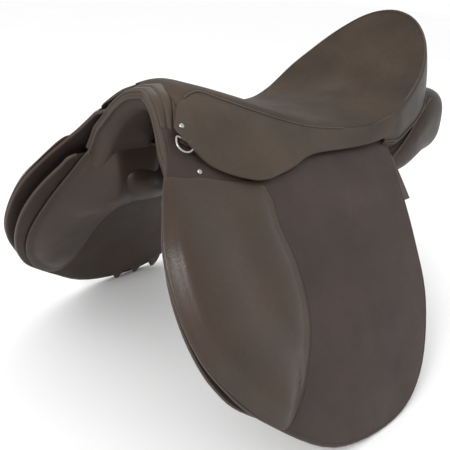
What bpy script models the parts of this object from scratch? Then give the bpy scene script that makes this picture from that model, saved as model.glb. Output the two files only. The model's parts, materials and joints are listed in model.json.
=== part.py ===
"""English jumping saddle, modelled as the pieces a saddler assembles.

The saddle faces -Y, its near (left) side is +X and +Z is up. The origin is the
point on the horse's back, or on a saddle rack, under the middle of the seat.
All shapes are described from the pommel: s runs rearwards from the pommel's
front along the centre line, h is the height above the pommel's top, and w runs
down the flap from its top edge. Lengths are in metres.
"""

import math

import bmesh
import bpy
from mathutils import Matrix, Vector

# ---- driving dimensions ----
POMMEL_TOP = (0.0, -0.245, 0.165)  # the pommel's top front, in the saddle's frame
SEAT_WIDEST = 0.360  # s of the widest part of the seat
SEAT_LENGTH = 0.507  # s of the cantle's rear edge
SEAT_HALF = 0.121  # half-width of the seat at its widest
CANTLE_POWER = 2.3  # roundness of the cantle in plan
GAP = 0.0003  # clearance between flat pieces that touch
LAYER_GAP = 0.0012  # clearance between curved leather layers
FOAM_INSET = 0.013  # the foam stays this far inside the seat's rim

FLAP_TOP_X, FLAP_TOP_H = 0.079, -0.062  # the flap's top line
FLAP_ANGLE = math.radians(41.4)  # lean of the flap from vertical at its top
FLAP_BEND = math.radians(28.3)  # how much of that lean is lost per metre
FLAP_THICK = 0.0045
SWEAT_OUT, SWEAT_THICK = -0.0125, 0.0035  # the sweat flap's outer face, and its thickness
SKIRT_OUT, SKIRT_THICK = 0.0125, 0.0040  # the skirt's inner face above the flap
HINGE_W, HINGE_OUT = 0.0, 0.0145  # the line about which skirts and flaps lift
BILLET_OUT, BILLET_THICK, BILLET_HALF = -0.0085, 0.0038, 0.0125
BILLET_S = (0.150, 0.188, 0.226)  # where the three girth straps hang
BILLET_TOP, BILLET_LENGTH = 0.050, 0.330
WEB_S = (0.172, 0.216)  # the two webs that carry the girth straps
BAR_S = (0.066, 0.140)  # front and rear of the stirrup bar
BAR_W = 0.022  # how far below the flap's top line the bar sits
RING_AT = (0.010, -0.014, 0.0105)  # s, w and out of the D ring's straight side

LEATHER = (0.093, 0.070, 0.058)
DARK_LEATHER = (0.060, 0.048, 0.042)
SIDES = (("near", 1), ("off", -1))


# ---- helpers: places and curves ----
def place(x, s, h):
    """A point given from the pommel, in the saddle's frame."""
    return Vector((x + POMMEL_TOP[0], s + POMMEL_TOP[1], h + POMMEL_TOP[2]))


def smooth(points, t):
    """The value at t of a smooth curve through (t, value) points."""
    if t <= points[0][0]:
        return points[0][1]
    if t >= points[-1][0]:
        return points[-1][1]
    i = max(k for k in range(len(points) - 1) if points[k][0] <= t)

    def slope(k):
        a, b = points[max(k - 1, 0)], points[min(k + 1, len(points) - 1)]
        return (b[1] - a[1]) / (b[0] - a[0])

    (t0, v0), (t1, v1) = points[i], points[i + 1]
    width = t1 - t0
    u = (t - t0) / width
    m0, m1 = slope(i) * width, slope(i + 1) * width
    return (
        v0 * (1 + 2 * u) * (1 - u) ** 2
        + m0 * u * (1 - u) ** 2
        + v1 * u * u * (3 - 2 * u)
        + m1 * u * u * (u - 1)
    )


def round_outline(points, steps):
    """A closed smooth outline through the points, steps vertices between each pair."""
    n = len(points)
    out = []
    for i in range(n):
        a, b, c, d = (Vector(points[(i + k) % n]) for k in (-1, 0, 1, 2))
        for j in range(steps):
            u = j / steps
            out.append(
                0.5 * (2 * b + (c - a) * u + (2 * a - 5 * b + 4 * c - d) * u * u
                       + (3 * b - a - 3 * c + d) * u ** 3)
            )
    return out


def spread(first, last, count):
    return [first + (last - first) * i / (count - 1) for i in range(count)]


# ---- helpers: meshes ----
def collection(name):
    made = bpy.data.collections.new(name)
    bpy.context.scene.collection.children.link(made)
    return made


def material(name, colour, roughness, metallic=0.0):
    made = bpy.data.materials.new(name)
    made.use_nodes = True
    shader = made.node_tree.nodes["Principled BSDF"]
    shader.inputs["Base Color"].default_value = (*colour, 1.0)
    shader.inputs["Roughness"].default_value = roughness
    shader.inputs["Metallic"].default_value = metallic
    return made


def add(name, mesh, look, where=None):
    """Put a mesh in the saddle's collection with its material."""
    piece = bpy.data.objects.new(name, mesh)
    (where or SADDLE).objects.link(piece)
    mesh.materials.append(look)
    mesh.shade_smooth()
    mesh.set_sharp_from_angle(angle=math.radians(40))
    return piece


def loft(name, rings, look, where=None):
    """A closed solid through rings of points, closed by a face at each end."""
    work = bmesh.new()
    rows = [[work.verts.new(p) for p in ring] for ring in rings]
    n = len(rows[0])
    for a, b in zip(rows, rows[1:]):
        for i in range(n):
            work.faces.new((a[i], a[(i + 1) % n], b[(i + 1) % n], b[i]))
    work.faces.new(rows[0])
    work.faces.new(rows[-1])
    work.normal_update()
    bmesh.ops.triangulate(work, faces=[f for f in work.faces if len(f.verts) > 4],
                          ngon_method="EAR_CLIP")
    bmesh.ops.recalc_face_normals(work, faces=work.faces)
    mesh = bpy.data.meshes.new(name)
    work.to_mesh(mesh)
    work.free()
    return add(name, mesh, look, where)


def rod(name, start, end, radius, look, sides=12, where=None):
    """A round bar from one point to another."""
    start, end = Vector(start), Vector(end)
    work = bmesh.new()
    bmesh.ops.create_cone(work, cap_ends=True, segments=sides, radius1=radius,
                          radius2=radius, depth=(end - start).length)
    mesh = bpy.data.meshes.new(name)
    work.to_mesh(mesh)
    work.free()
    turn = Vector((0, 0, 1)).rotation_difference(end - start).to_matrix().to_4x4()
    mesh.transform(Matrix.Translation((start + end) / 2) @ turn)
    return add(name, mesh, look, where)


def wire(name, points, radius, look, closed=False):
    """A bent wire through the points."""
    curve = bpy.data.curves.new(name, "CURVE")
    curve.dimensions = "3D"
    curve.bevel_depth = radius
    curve.bevel_resolution = 2
    curve.use_fill_caps = not closed
    spline = curve.splines.new("POLY")
    spline.points.add(len(points) - 1)
    for knot, p in zip(spline.points, points):
        knot.co = (*p, 1.0)
    spline.use_cyclic_u = closed
    curve.materials.append(look)
    piece = bpy.data.objects.new(name, curve)
    SADDLE.objects.link(piece)
    return piece


def drill(piece, cutter):
    """Take a cutter away from a piece."""
    cutter.hide_render = True
    cutter.display_type = "WIRE"
    cut = piece.modifiers.new("hole", "BOOLEAN")
    cut.operation = "DIFFERENCE"
    cut.object = cutter


def hinge_at(pieces, name, where):
    """Hang moving pieces on an empty that stands on their joint's axis."""
    axis = bpy.data.objects.new(name, None)
    axis.location = where
    SADDLE.objects.link(axis)
    for piece in pieces:
        piece.parent = axis
        piece.matrix_parent_inverse = Matrix.Translation(-Vector(where))
    return axis


# ---- the flap's surface ----
def flap_point(s, w, out, side):
    """A point w down the flap and out from its back, on the near or off side."""
    lean = FLAP_ANGLE - FLAP_BEND * w
    x = FLAP_TOP_X + w * math.sin(lean) + out * math.cos(lean)
    h = FLAP_TOP_H - w * math.cos(lean) + out * math.sin(lean)
    return place(side * x, s, h)


def flap_frame(w, side):
    """The directions rearwards, down the flap and out of it."""
    down = flap_point(0, w + 0.005, 0, side) - flap_point(0, w - 0.005, 0, side)
    down.normalize()
    rear = Vector((0, 1, 0))
    out = down.cross(rear) * side
    return rear, down, out


def leaf(name, outline, back, thickness, side, look, rings=(0.2, 0.5, 0.78, 1.0), crown=None):
    """A leather piece or pad that lies along the flap, inside a closed outline of (s, w)."""
    centre = sum((Vector(p) for p in outline), Vector((0, 0))) / len(outline)

    def ring(scale, out):
        points = [centre + (p - centre) * scale for p in outline]
        return [flap_point(p.x, p.y, out(p, scale), side) for p in points]

    def face(p, scale):
        return back + (crown(p, scale) if crown else thickness)

    under = [ring(k, lambda p, scale: back) for k in rings]
    over = [ring(k, face) for k in reversed(rings)]
    return loft(name, under + over, look)


# ---- seat ----
HALF_WIDTHS = [(0.045, 0.064), (0.08, 0.075), (0.13, 0.081), (0.20, 0.085),
               (0.28, 0.101), (SEAT_WIDEST, SEAT_HALF)]
RIDGE = [(0.0, 0.0), (0.05, 0.003), (0.10, -0.010), (0.165, -0.030), (0.227, -0.048),
         (0.29, -0.055), (0.35, -0.050), (0.40, -0.028), (0.44, 0.002), (0.48, 0.044),
         (SEAT_LENGTH, 0.078)]
RIM = [(0.045, -0.034), (0.10, -0.036), (0.155, -0.043), (0.22, -0.056), (0.28, -0.062),
       (0.33, -0.058), (0.375, -0.040), (0.41, -0.015), (0.453, 0.020), (0.48, 0.046),
       (SEAT_LENGTH, 0.076)]
SEAT_STATIONS = [0.0505, 0.08, 0.12, 0.17, 0.22, 0.27, 0.32, 0.36, 0.40, 0.44, 0.47, 0.490,
                 0.501, 0.5055]


def half_width(s):
    """Half the seat's width: a round cantle behind its widest part."""
    if s <= SEAT_WIDEST:
        return smooth(HALF_WIDTHS, s)
    part = min((s - SEAT_WIDEST) / (SEAT_LENGTH - SEAT_WIDEST), 1.0)
    return SEAT_HALF * (1 - part ** CANTLE_POWER) ** (1 / CANTLE_POWER)


def seat_top(s, u):
    """Height of the seat's face, u from the centre line (0) to the rim (1)."""
    return smooth(RIDGE, s) + (smooth(RIM, s) - smooth(RIDGE, s)) * abs(u) ** 2.2


def seat_arc(s, inset, drop, count=11):
    """A row of points across the seat, inside its rim and below its face."""
    half = max(half_width(s) - inset, 0.004)
    return [(u * half, seat_top(s, u) - drop) for u in spread(-1, 1, count)]


def seat_layer(name, inset, top, bottom, look, stations):
    """A layer of the seat between two depths below its face."""
    rings = []
    for s in stations:
        over = [place(x, s, h) for x, h in seat_arc(s, inset, top)]
        under = [place(x, s, h) for x, h in reversed(seat_arc(s, inset, bottom(s)))]
        rings.append(over + under)
    return loft(name, rings, look)


def build_seat(leather, foam):
    seat_layer("seat_cover", 0.0, 0.0, lambda s: 0.0028, leather, SEAT_STATIONS)
    depth = [(0.05, 0.020), (0.15, 0.024), (0.29, 0.018), (0.40, 0.016), (0.51, 0.010)]
    inner = [0.056] + [s for s in SEAT_STATIONS[1:] if s < 0.480]
    seat_layer("seat_foam", FOAM_INSET, 0.0060, lambda s: smooth(depth, s), foam, inner)


# ---- pommel and tree head: layers of one arch ----
ARCH = [(0.0, 0.0, -0.017), (0.20, 0.019, -0.022), (0.40, 0.038, -0.040), (0.60, 0.053, -0.066),
        (0.80, 0.072, -0.097), (1.0, 0.094, -0.127), (1.2, 0.114, -0.156)]


def arch_point(t, out):
    """A point of the arch's middle line moved out along its normal; t is 0 at the top."""
    xs = [(k, x) for k, x, _ in ARCH]
    hs = [(k, h) for k, _, h in ARCH]
    a = abs(t)
    here = Vector((smooth(xs, a), smooth(hs, a)))
    ahead = Vector((smooth(xs, a + 0.02), smooth(hs, a + 0.02)))
    behind = Vector((smooth(xs, abs(a - 0.02)), smooth(hs, abs(a - 0.02))))
    along = ahead - behind
    if a < 0.02:
        along = Vector((1, 0))
    along.normalize()
    normal = Vector((-along.y, along.x))
    point = here + normal * out
    return Vector((math.copysign(1, t) * point.x if a > 0 else 0.0, point.y))


def arch_band(name, reach, inner, outer, front, rear, look, count=25):
    """A bent strip of the arch, from one side's reach to the other's."""
    rings = []
    for t in spread(-reach, reach, count):
        low, high = arch_point(t, inner), arch_point(t, outer)
        rings.append([place(low.x, front(t), low.y), place(high.x, front(t), high.y),
                      place(high.x, rear(t), high.y), place(low.x, rear(t), low.y)])
    return loft(name, rings, look)


def pommel_lean(t):
    """The pommel's front face is cut back at the top and comes forward at the sides."""
    return 0.012 - 0.020 * min(abs(t), 0.6) / 0.6


def build_pommel(leather, lining):
    arch_band("pommel_cover", 0.74, 0.0135, 0.0165, pommel_lean, lambda t: 0.0498, leather)
    arch_band("pommel_lining", 0.86, -0.0155, -0.0130, pommel_lean, lambda t: 0.058, lining)
    arch_band("pommel_facing", 0.74, -0.0115, 0.0120, lambda t: pommel_lean(t) + 0.0002,
              lambda t: pommel_lean(t) + 0.0030, leather)


def build_tree(wood, steel, webbing):
    def first(t):
        return 0.016

    arch_band("tree_head", 1.02, -0.0060, 0.0060, first, lambda t: 0.050, wood)
    arch_band("head_plate", 0.72, 0.0072, 0.0094, lambda t: 0.020, lambda t: 0.046, steel)
    arch_band("gullet_plate", 0.90, -0.0094, -0.0072, lambda t: 0.020, lambda t: 0.046, steel)
    for side, sign in SIDES:
        rail_rings, strip_rings = [], []
        for s in spread(0.0505, 0.385, 13):
            x, h = rail_middle(s)
            rail_rings.append([place(sign * (x + a), s, h + b) for a, b in
                               ((-0.011, -0.006), (0.011, -0.008), (0.011, 0.004), (-0.011, 0.006))])
        for s in spread(0.060, 0.375, 13):
            x, h = rail_middle(s)
            strip_rings.append([place(sign * (x + a), s, h + b) for a, b in
                                ((-0.008, 0.0067), (0.008, 0.0053), (0.008, 0.0071),
                                 (-0.008, 0.0085))])
        loft(f"tree_rail_{side}", rail_rings, wood)
        loft(f"spring_strip_{side}", strip_rings, steel)
    build_cantle_wood(wood)
    build_webs(webbing)


def rail_middle(s):
    """The middle of a tree rail: half-spacing and height."""
    x = smooth([(0.05, 0.056), (0.10, 0.062), (0.18, 0.064), (0.30, 0.072), (0.40, 0.082)], s)
    h = smooth([(0.05, -0.070), (0.12, -0.080), (0.20, -0.094), (0.30, -0.091), (0.40, -0.073)], s)
    return x, h


def build_cantle_wood(wood):
    """The cantle of the tree: a bow that follows the seat's rear edge from inside."""
    rings = []
    for angle in spread(-78, 78, 15):
        a = math.radians(angle)
        s = 0.392 + 0.084 * math.cos(a)
        x = 0.086 * math.copysign(abs(math.sin(a)) ** 0.9, a)
        face = seat_top(s, min(abs(x) / max(half_width(s), 0.01), 1.0))
        inward = Vector((-math.sin(a), -math.cos(a)))
        top, bottom = face - 0.022, face - 0.040
        wide = 0.009
        rings.append([place(x + inward.x * k * wide, s + inward.y * k * wide, h)
                      for k, h in ((-1, top), (1, top - 0.004), (1, bottom - 0.006), (-1, bottom))])
    loft("tree_cantle", rings, wood)


def build_webs(webbing):
    """Webs stretched over the tree: one lengthwise, two across that carry the girth straps."""
    rings = []
    for s in spread(0.062, 0.430, 16):
        h = smooth(RIDGE, s) - smooth([(0.06, 0.030), (0.2, 0.031), (0.43, 0.027)], s)
        rings.append([place(a, s, h + b) for a, b in
                      ((-0.025, 0), (0.025, 0), (0.025, 0.0015), (-0.025, 0.0015))])
    loft("seat_web", rings, webbing)
    rings = []
    for s in spread(0.062, 0.455, 16):
        h = smooth([(0.06, -0.084), (0.12, -0.093), (0.20, -0.107), (0.30, -0.104), (0.385, -0.088),
                    (0.455, -0.050)], s)
        half = smooth([(0.06, 0.040), (0.20, 0.050), (0.27, 0.042), (0.34, 0.036), (0.46, 0.030)], s)
        rings.append([place(a, s, h + b) for a, b in
                      ((-half, 0), (half, 0), (half, 0.0012), (-half, 0.0012))])
    loft("gullet_cloth", rings, webbing)
    for number, s in enumerate(WEB_S, start=1):
        rings = [web_corners(s, k) for k in range(5)]
        rings = [[place(-p.x, p.y, p.z) for p in ring] for ring in reversed(rings)] + [
            [place(*p) for p in ring] for ring in rings]
        loft(f"girth_web_{number}", rings, webbing)


def web_corners(s, step):
    """The four corners of a girth web's section, at one step out from the middle."""
    corners = []
    for ahead, up in ((-0.021, 0), (0.021, 0), (0.021, 0.0018), (-0.021, 0.0018)):
        x, h = rail_middle(s + ahead)
        w = (0.028, BILLET_TOP - 0.004)[max(step - 3, 0)]
        low = flap_point(0, w, BILLET_OUT, 1)
        at = [(0.015, h + 0.007), (x - 0.010, h + 0.0110), (x + 0.0125, h + 0.0090),
              (low.x, low.z - POMMEL_TOP[2]), (low.x, low.z - POMMEL_TOP[2])][step]
        corners.append(Vector((at[0], s + ahead, at[1] + up)))
    return corners


# ---- stirrup bars with their safety catches ----
def slab(name, side, outline, first, last, look, flat=True):
    """A prism on the flap: outline in (s, out) run over w, or in (s, w) run through out."""
    if flat:
        rings = [[flap_point(s, w, out, side) for s, w in outline] for out in (first, last)]
    else:
        rings = [[flap_point(s, w, out, side) for s, out in outline] for w in (first, last)]
    return loft(name, rings, look)


def build_bars(steel):
    front, rear = BAR_S
    pin_s = rear - 0.0035
    for side, sign in SIDES:
        plate = [(front - 0.008, BAR_W - 0.010), (rear + 0.004, BAR_W - 0.010),
                 (rear + 0.004, BAR_W + 0.010), (front - 0.008, BAR_W + 0.010)]
        slab(f"bar_plate_{side}", sign, plate, -0.0125, -0.0098, steel)
        hook = [(front - 0.006, -0.0095), (front + 0.006, -0.0095), (front + 0.006, 0.0035),
                (rear, 0.0035), (rear, 0.0080), (front - 0.006, 0.0080)]
        bar = slab(f"stirrup_bar_{side}", sign, hook, BAR_W - 0.005, BAR_W + 0.005, steel, False)
        fork = [(pin_s - 0.004, 0.0012), (pin_s + 0.018, 0.0012), (pin_s + 0.018, 0.0103),
                (pin_s - 0.004, 0.0103), (pin_s - 0.004, 0.0083), (pin_s + 0.0065, 0.0083),
                (pin_s + 0.0065, 0.0032), (pin_s - 0.004, 0.0032)]
        catch = slab(f"safety_catch_{side}", sign, fork, BAR_W - 0.004, BAR_W + 0.004, steel, False)
        middle = flap_point(pin_s, BAR_W, 0.0058, sign)
        out = flap_frame(BAR_W, sign)[2]
        rod(f"catch_pin_{side}", middle - out * 0.0056, middle + out * 0.0056, 0.0012, steel)
        for piece in (bar, catch):
            hole = rod(f"cutter_{piece.name}", middle - out * 0.02, middle + out * 0.02, 0.0016,
                       steel, where=CUTTERS)
            drill(piece, hole)
        hinge_at([catch], f"axis_catch_{side}", middle)
        for end, s in (("front", front + 0.014), ("rear", rear - 0.014)):
            foot = flap_point(s, BAR_W, -0.0095, sign)
            rod(f"bar_rivet_{end}_{side}", foot, foot + out * 0.0014, 0.0030, steel)


# ---- flaps, knee pads, sweat flaps, skirts ----
FLAP_OUTLINE = [(-0.024, 0.010), (0.045, 0.008), (0.058, 0.040), (0.150, 0.041), (0.176, 0.012),
                (0.250, 0.016), (0.320, 0.060), (0.352, 0.080), (0.343, 0.125), (0.334, 0.187),
                (0.318, 0.270), (0.268, 0.352), (0.194, 0.385), (0.078, 0.366), (-0.017, 0.292),
                (-0.056, 0.237), (-0.073, 0.185), (-0.075, 0.139), (-0.066, 0.090),
                (-0.046, 0.045)]
KNEE_OUTLINE = [(-0.029, 0.028), (0.010, 0.030), (0.050, 0.046), (0.093, 0.062), (0.092, 0.106),
                (0.094, 0.152), (0.090, 0.196), (0.080, 0.230), (0.062, 0.262), (0.039, 0.292),
                (0.008, 0.305), (-0.018, 0.279), (-0.049, 0.230), (-0.065, 0.185),
                (-0.067, 0.140), (-0.058, 0.095), (-0.042, 0.055)]
SWEAT_OUTLINE = [(-0.030, 0.034), (0.050, 0.040), (0.150, 0.042), (0.250, 0.045), (0.318, 0.078),
                 (0.322, 0.150), (0.305, 0.240), (0.262, 0.320), (0.185, 0.356), (0.080, 0.346),
                 (-0.022, 0.282), (-0.060, 0.238), (-0.078, 0.186), (-0.080, 0.140),
                 (-0.072, 0.095), (-0.054, 0.055)]
TONGUE_OUTLINE = [(-0.004, 0.072), (0.042, 0.068), (0.092, 0.076), (0.086, 0.140), (0.064, 0.204),
                  (0.046, 0.270), (0.020, 0.297), (-0.015, 0.282), (-0.042, 0.235),
                  (-0.048, 0.185), (-0.032, 0.125)]
SKIRT_OUTLINE = [(0.026, 0.006), (0.100, 0.004), (0.180, 0.005), (0.220, 0.015), (0.270, 0.025),
                 (0.296, 0.031), (0.294, 0.041), (0.240, 0.039), (0.195, 0.036), (0.150, 0.044),
                 (0.100, 0.051), (0.070, 0.046), (0.042, 0.028)]


def knee_crown(p, scale):
    """The knee pad is fullest along its front edge and thin under the skirt."""
    front = min(max((0.060 - p.x) / 0.110, 0.0), 1.0)
    below = min(max((p.y - 0.030) / 0.060, 0.0), 1.0)
    rise = 0.0020 + (0.0040 + 0.0100 * front) * below
    return 0.0025 + rise * (1 - scale ** 4)


def tongue_crown(p, scale):
    """The knee block under the flap presses in towards the horse, most at its top."""
    top = min(max((0.190 - p.y) / 0.090, 0.0), 1.0)
    return -0.0040 - (0.0110 + 0.0080 * top) * (1 - scale ** 5)


def build_sides(leather, dark, steel):
    hinge = (0, HINGE_W, HINGE_OUT)
    for side, sign in SIDES:
        flap = leaf(f"flap_{side}", round_outline(FLAP_OUTLINE, 2), 0.0, FLAP_THICK, sign, leather)
        knee = leaf(f"knee_pad_{side}", round_outline(KNEE_OUTLINE, 2), FLAP_THICK + LAYER_GAP, 0, sign,
                    leather, (0.35, 0.7, 0.92, 1.0), knee_crown)
        out = flap_frame(0.026, sign)[2]
        foot = flap_point(0.014, 0.022, FLAP_THICK + GAP, sign)
        stud = rod(f"flap_stud_{side}", foot, foot + out * 0.0026, 0.0042, steel)
        line = flap_point(*hinge, sign)
        hinge_at([flap, knee, stud], f"axis_flap_{side}", line)
        skirt = leaf(f"skirt_{side}", round_outline(SKIRT_OUTLINE, 2), SKIRT_OUT, SKIRT_THICK, sign,
                     leather, (0.3, 0.7, 1.0))
        hinge_at([skirt], f"axis_skirt_{side}", line)
        leaf(f"sweat_flap_{side}", round_outline(SWEAT_OUTLINE, 2), SWEAT_OUT - SWEAT_THICK,
             SWEAT_THICK, sign, dark)
        leaf(f"panel_block_{side}", round_outline(TONGUE_OUTLINE, 3),
             SWEAT_OUT - SWEAT_THICK - LAYER_GAP, 0, sign, dark, (0.4, 0.75, 0.93, 1.0), tongue_crown)


# ---- girth straps and their keepers ----
def strap(name, outline_at, out, thickness, top, length, side, look, steps=9):
    """A strap that follows the flap's bend, in cross-sections down its length."""
    rings = []
    for w in spread(top, top + length, steps):
        left, right = outline_at(w)
        rings.append([flap_point(left, w, out, side), flap_point(right, w, out, side),
                      flap_point(right, w, out + thickness, side),
                      flap_point(left, w, out + thickness, side)])
    return loft(name, rings, look)


def build_straps(leather):
    for side, sign in SIDES:
        end = BILLET_TOP + BILLET_LENGTH
        for number, s in enumerate(BILLET_S, start=1):
            def edges(w, s=s):
                half = BILLET_HALF * min(1.0, 0.35 + (end - w) / 0.022)
                return s - half, s + half

            piece = strap(f"billet_{number}_{side}", edges, BILLET_OUT, BILLET_THICK, BILLET_TOP,
                          BILLET_LENGTH, sign, leather, 12)
            hinge_at([piece], f"axis_billet_{number}_{side}",
                     flap_point(s, BILLET_TOP + 0.010, BILLET_OUT + BILLET_THICK / 2, sign))
        strap(f"buckle_guard_{side}", lambda w: (0.128, 0.248), BILLET_OUT + BILLET_THICK + 0.0012,
              0.0020, 0.060, 0.100, sign, leather, 4)
        strap(f"rear_strap_{side}", lambda w: (0.345, 0.374), -0.0062, 0.0030, 0.062, 0.068, sign,
              leather, 4)


# ---- panels ----
PANEL = [  # s, middle x, middle h, half-width, half-height, tilt in degrees
    (-0.004, 0.067, -0.142, 0.026, 0.008, 50), (0.008, 0.067, -0.141, 0.039, 0.014, 50),
    (0.034, 0.068, -0.142, 0.040, 0.017, 46), (0.080, 0.072, -0.143, 0.034, 0.022, 35),
    (0.160, 0.070, -0.138, 0.034, 0.024, 26), (0.250, 0.070, -0.138, 0.038, 0.026, 20),
    (0.340, 0.070, -0.131, 0.040, 0.028, 14), (0.376, 0.070, -0.127, 0.040, 0.028, 12),
    (0.420, 0.077, -0.109, 0.044, 0.043, 8), (0.475, 0.075, -0.084, 0.043, 0.052, 3),
    (0.512, 0.072, -0.080, 0.039, 0.048, 0), (0.532, 0.070, -0.080, 0.024, 0.032, 0)]


def build_panels(dark):
    for side, sign in SIDES:
        rings = []
        for s, x, h, wide, tall, tilt in PANEL:
            ring = []
            for k in range(16):
                a = 2 * math.pi * k / 16
                c, d = math.cos(a), math.sin(a)
                px = wide * math.copysign(abs(c) ** 0.7, c)
                pz = tall * math.copysign(abs(d) ** 0.7, d)
                t = -math.radians(tilt)
                ring.append(place(sign * (x + px * math.cos(t) - pz * math.sin(t)), s,
                                  h + px * math.sin(t) + pz * math.cos(t)))
            rings.append(ring)
        loft(f"panel_{side}", rings, dark)


# ---- cantle facing and pommel metalwork ----
def build_cantle_facing(leather):
    """The band below the seat's rim, round the cantle from one side to the other."""
    rings = []
    path = [(s, 1) for s in (0.305, 0.34, 0.38, 0.41, 0.44, 0.465, 0.484, 0.496, 0.503)]
    path += [(SEAT_LENGTH, 0)] + [(s, -1) for s, _ in reversed(path)]
    for s, sign in path:
        x = half_width(s) * sign
        inward = Vector((-sign * 0.9, -0.45)) if sign else Vector((0, -1))
        inward.normalize()
        top = smooth(RIM, s) - 0.0075
        drop = smooth([(0.30, 0.014), (0.36, 0.036), (0.42, 0.040), (0.507, 0.040)], s)
        under = smooth([(0.30, 0.002), (0.36, 0.008), (0.45, 0.014), (0.507, 0.016)], s)
        outer = Vector((x, s))
        rings.append([
            place(*outer, top), place(*(outer + inward * 0.0025), top - 0.0055),
            place(*(outer + inward * (under + 0.0025)), top - drop),
            place(*(outer + inward * under), top - drop)])
    loft("cantle_facing", rings, leather)


def build_metalwork(steel, leather):
    for side, sign in SIDES:
        out = flap_frame(0.0, sign)[2]
        rear, down, _ = flap_frame(0.0, sign)
        # the head nail, on the skirt's front corner
        foot = flap_point(0.012, -0.030, 0.0105, sign)
        rod(f"head_nail_{side}", foot, foot + out * 0.0030, 0.0048, steel)
        # the D ring hangs from a leather chape below the nail
        top = flap_point(*RING_AT, sign)
        slope = (rear * 0.55 + down * 0.45).normalized()
        hang = (down - slope * down.dot(slope)).normalized()
        half, depth, radius = 0.0125, 0.0190, 0.0016
        points = [top - slope * half, top + slope * half]
        for k in range(1, 8):
            a = math.pi * k / 8
            points.append(top + slope * half * math.cos(a) + hang * depth * math.sin(a) ** 0.8)
        ring = wire(f"d_ring_{side}", points, radius, steel, closed=True)
        hinge_at([ring], f"axis_d_ring_{side}", top)
        wall = [(-0.0052, -0.0052), (0.0042, -0.0052), (0.0042, 0.0040), (-0.0052, 0.0040),
                (-0.0052, 0.0024), (0.0025, 0.0024), (0.0025, -0.0025), (-0.0052, -0.0025)]
        rings = [[top + slope * along - hang * a + out * b for a, b in
                  [(-p, q) for p, q in wall]] for along in (-0.006, 0.006)]
        loft(f"d_ring_chape_{side}", rings, leather)


SADDLE = None
CUTTERS = None


def main():
    global SADDLE, CUTTERS
    for old in list(bpy.data.objects):
        bpy.data.objects.remove(old, do_unlink=True)
    SADDLE = collection("english_saddle")
    CUTTERS = collection("cutters")
    leather = material("brown_leather", LEATHER, 0.55)
    dark = material("dark_leather", DARK_LEATHER, 0.60)
    steel = material("polished_steel", (0.62, 0.62, 0.60), 0.25, 1.0)
    wood = material("laminated_beech", (0.45, 0.30, 0.17), 0.6)
    webbing = material("linen_web", (0.55, 0.50, 0.40), 0.9)
    foam = material("seat_foam", (0.75, 0.72, 0.60), 0.95)
    build_tree(wood, steel, webbing)
    build_seat(leather, foam)
    build_pommel(leather, dark)
    build_cantle_facing(leather)
    build_bars(steel)
    build_sides(leather, dark, steel)
    build_straps(leather)
    build_panels(dark)
    build_metalwork(steel, leather)


main()
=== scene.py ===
"""The look of an English jumping saddle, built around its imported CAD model.

Shapes are described as in the CAD: x is half-width, s runs rearwards from the
pommel's front, h is the height above the pommel's top, and w runs down the flap.
Lengths are in metres, except in the tables that metres() takes in millimetres.
"""

import json
import math

import bmesh
import bpy
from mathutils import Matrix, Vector

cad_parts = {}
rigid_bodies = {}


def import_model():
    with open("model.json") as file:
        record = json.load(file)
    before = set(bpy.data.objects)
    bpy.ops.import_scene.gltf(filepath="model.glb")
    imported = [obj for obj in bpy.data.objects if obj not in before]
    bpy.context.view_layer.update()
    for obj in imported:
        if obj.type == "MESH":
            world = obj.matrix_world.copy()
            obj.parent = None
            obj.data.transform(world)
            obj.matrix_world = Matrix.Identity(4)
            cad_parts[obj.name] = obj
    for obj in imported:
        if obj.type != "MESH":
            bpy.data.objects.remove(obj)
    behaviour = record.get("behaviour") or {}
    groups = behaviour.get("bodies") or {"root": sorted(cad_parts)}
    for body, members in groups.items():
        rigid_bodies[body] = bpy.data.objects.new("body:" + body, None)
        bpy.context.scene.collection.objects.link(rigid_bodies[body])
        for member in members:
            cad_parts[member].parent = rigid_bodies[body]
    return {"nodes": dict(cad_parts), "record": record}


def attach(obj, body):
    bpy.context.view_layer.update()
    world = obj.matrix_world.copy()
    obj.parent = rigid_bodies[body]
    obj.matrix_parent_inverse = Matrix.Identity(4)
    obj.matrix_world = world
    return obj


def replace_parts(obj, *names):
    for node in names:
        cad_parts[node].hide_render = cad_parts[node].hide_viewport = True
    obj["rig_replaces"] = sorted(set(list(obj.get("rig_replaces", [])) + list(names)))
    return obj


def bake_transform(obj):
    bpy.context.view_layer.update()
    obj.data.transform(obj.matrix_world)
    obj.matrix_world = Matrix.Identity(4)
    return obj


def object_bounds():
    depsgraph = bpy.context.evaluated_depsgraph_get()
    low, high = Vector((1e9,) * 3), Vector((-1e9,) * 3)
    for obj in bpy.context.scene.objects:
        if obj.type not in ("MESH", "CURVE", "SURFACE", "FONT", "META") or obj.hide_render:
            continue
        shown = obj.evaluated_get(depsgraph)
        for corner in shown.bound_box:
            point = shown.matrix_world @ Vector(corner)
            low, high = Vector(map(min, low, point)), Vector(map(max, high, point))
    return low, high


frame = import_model()
CAD_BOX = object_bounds()

# ---- driving dimensions, as in the CAD ----
POMMEL_TOP = Vector((0.0, -0.245, 0.165))
SEAT_WIDEST, SEAT_LENGTH, SEAT_HALF = 0.360, 0.507, 0.121
CANTLE_POWER = 2.3
FLAP_TOP_X, FLAP_TOP_H = 0.079, -0.062
FLAP_ANGLE, FLAP_BEND = math.radians(41.4), math.radians(28.3)
FLAP_THICK = 0.0045
SWEAT_OUT, SWEAT_THICK = -0.0125, 0.0035
HINGE_OUT = 0.0145
BILLET_OUT, BILLET_THICK, BILLET_HALF = -0.0085, 0.0038, 0.0125
BILLET_S = (0.150, 0.188, 0.226)
BILLET_TOP, BILLET_LENGTH = 0.050, 0.330
RING_AT = (0.010, -0.014, 0.0105)
SIDES = (("near", 1), ("off", -1))


# ---- places and curves ----
def place(x, s, h):
    """A point given from the pommel, in the saddle's frame."""
    return Vector((x, s, h)) + POMMEL_TOP


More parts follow.
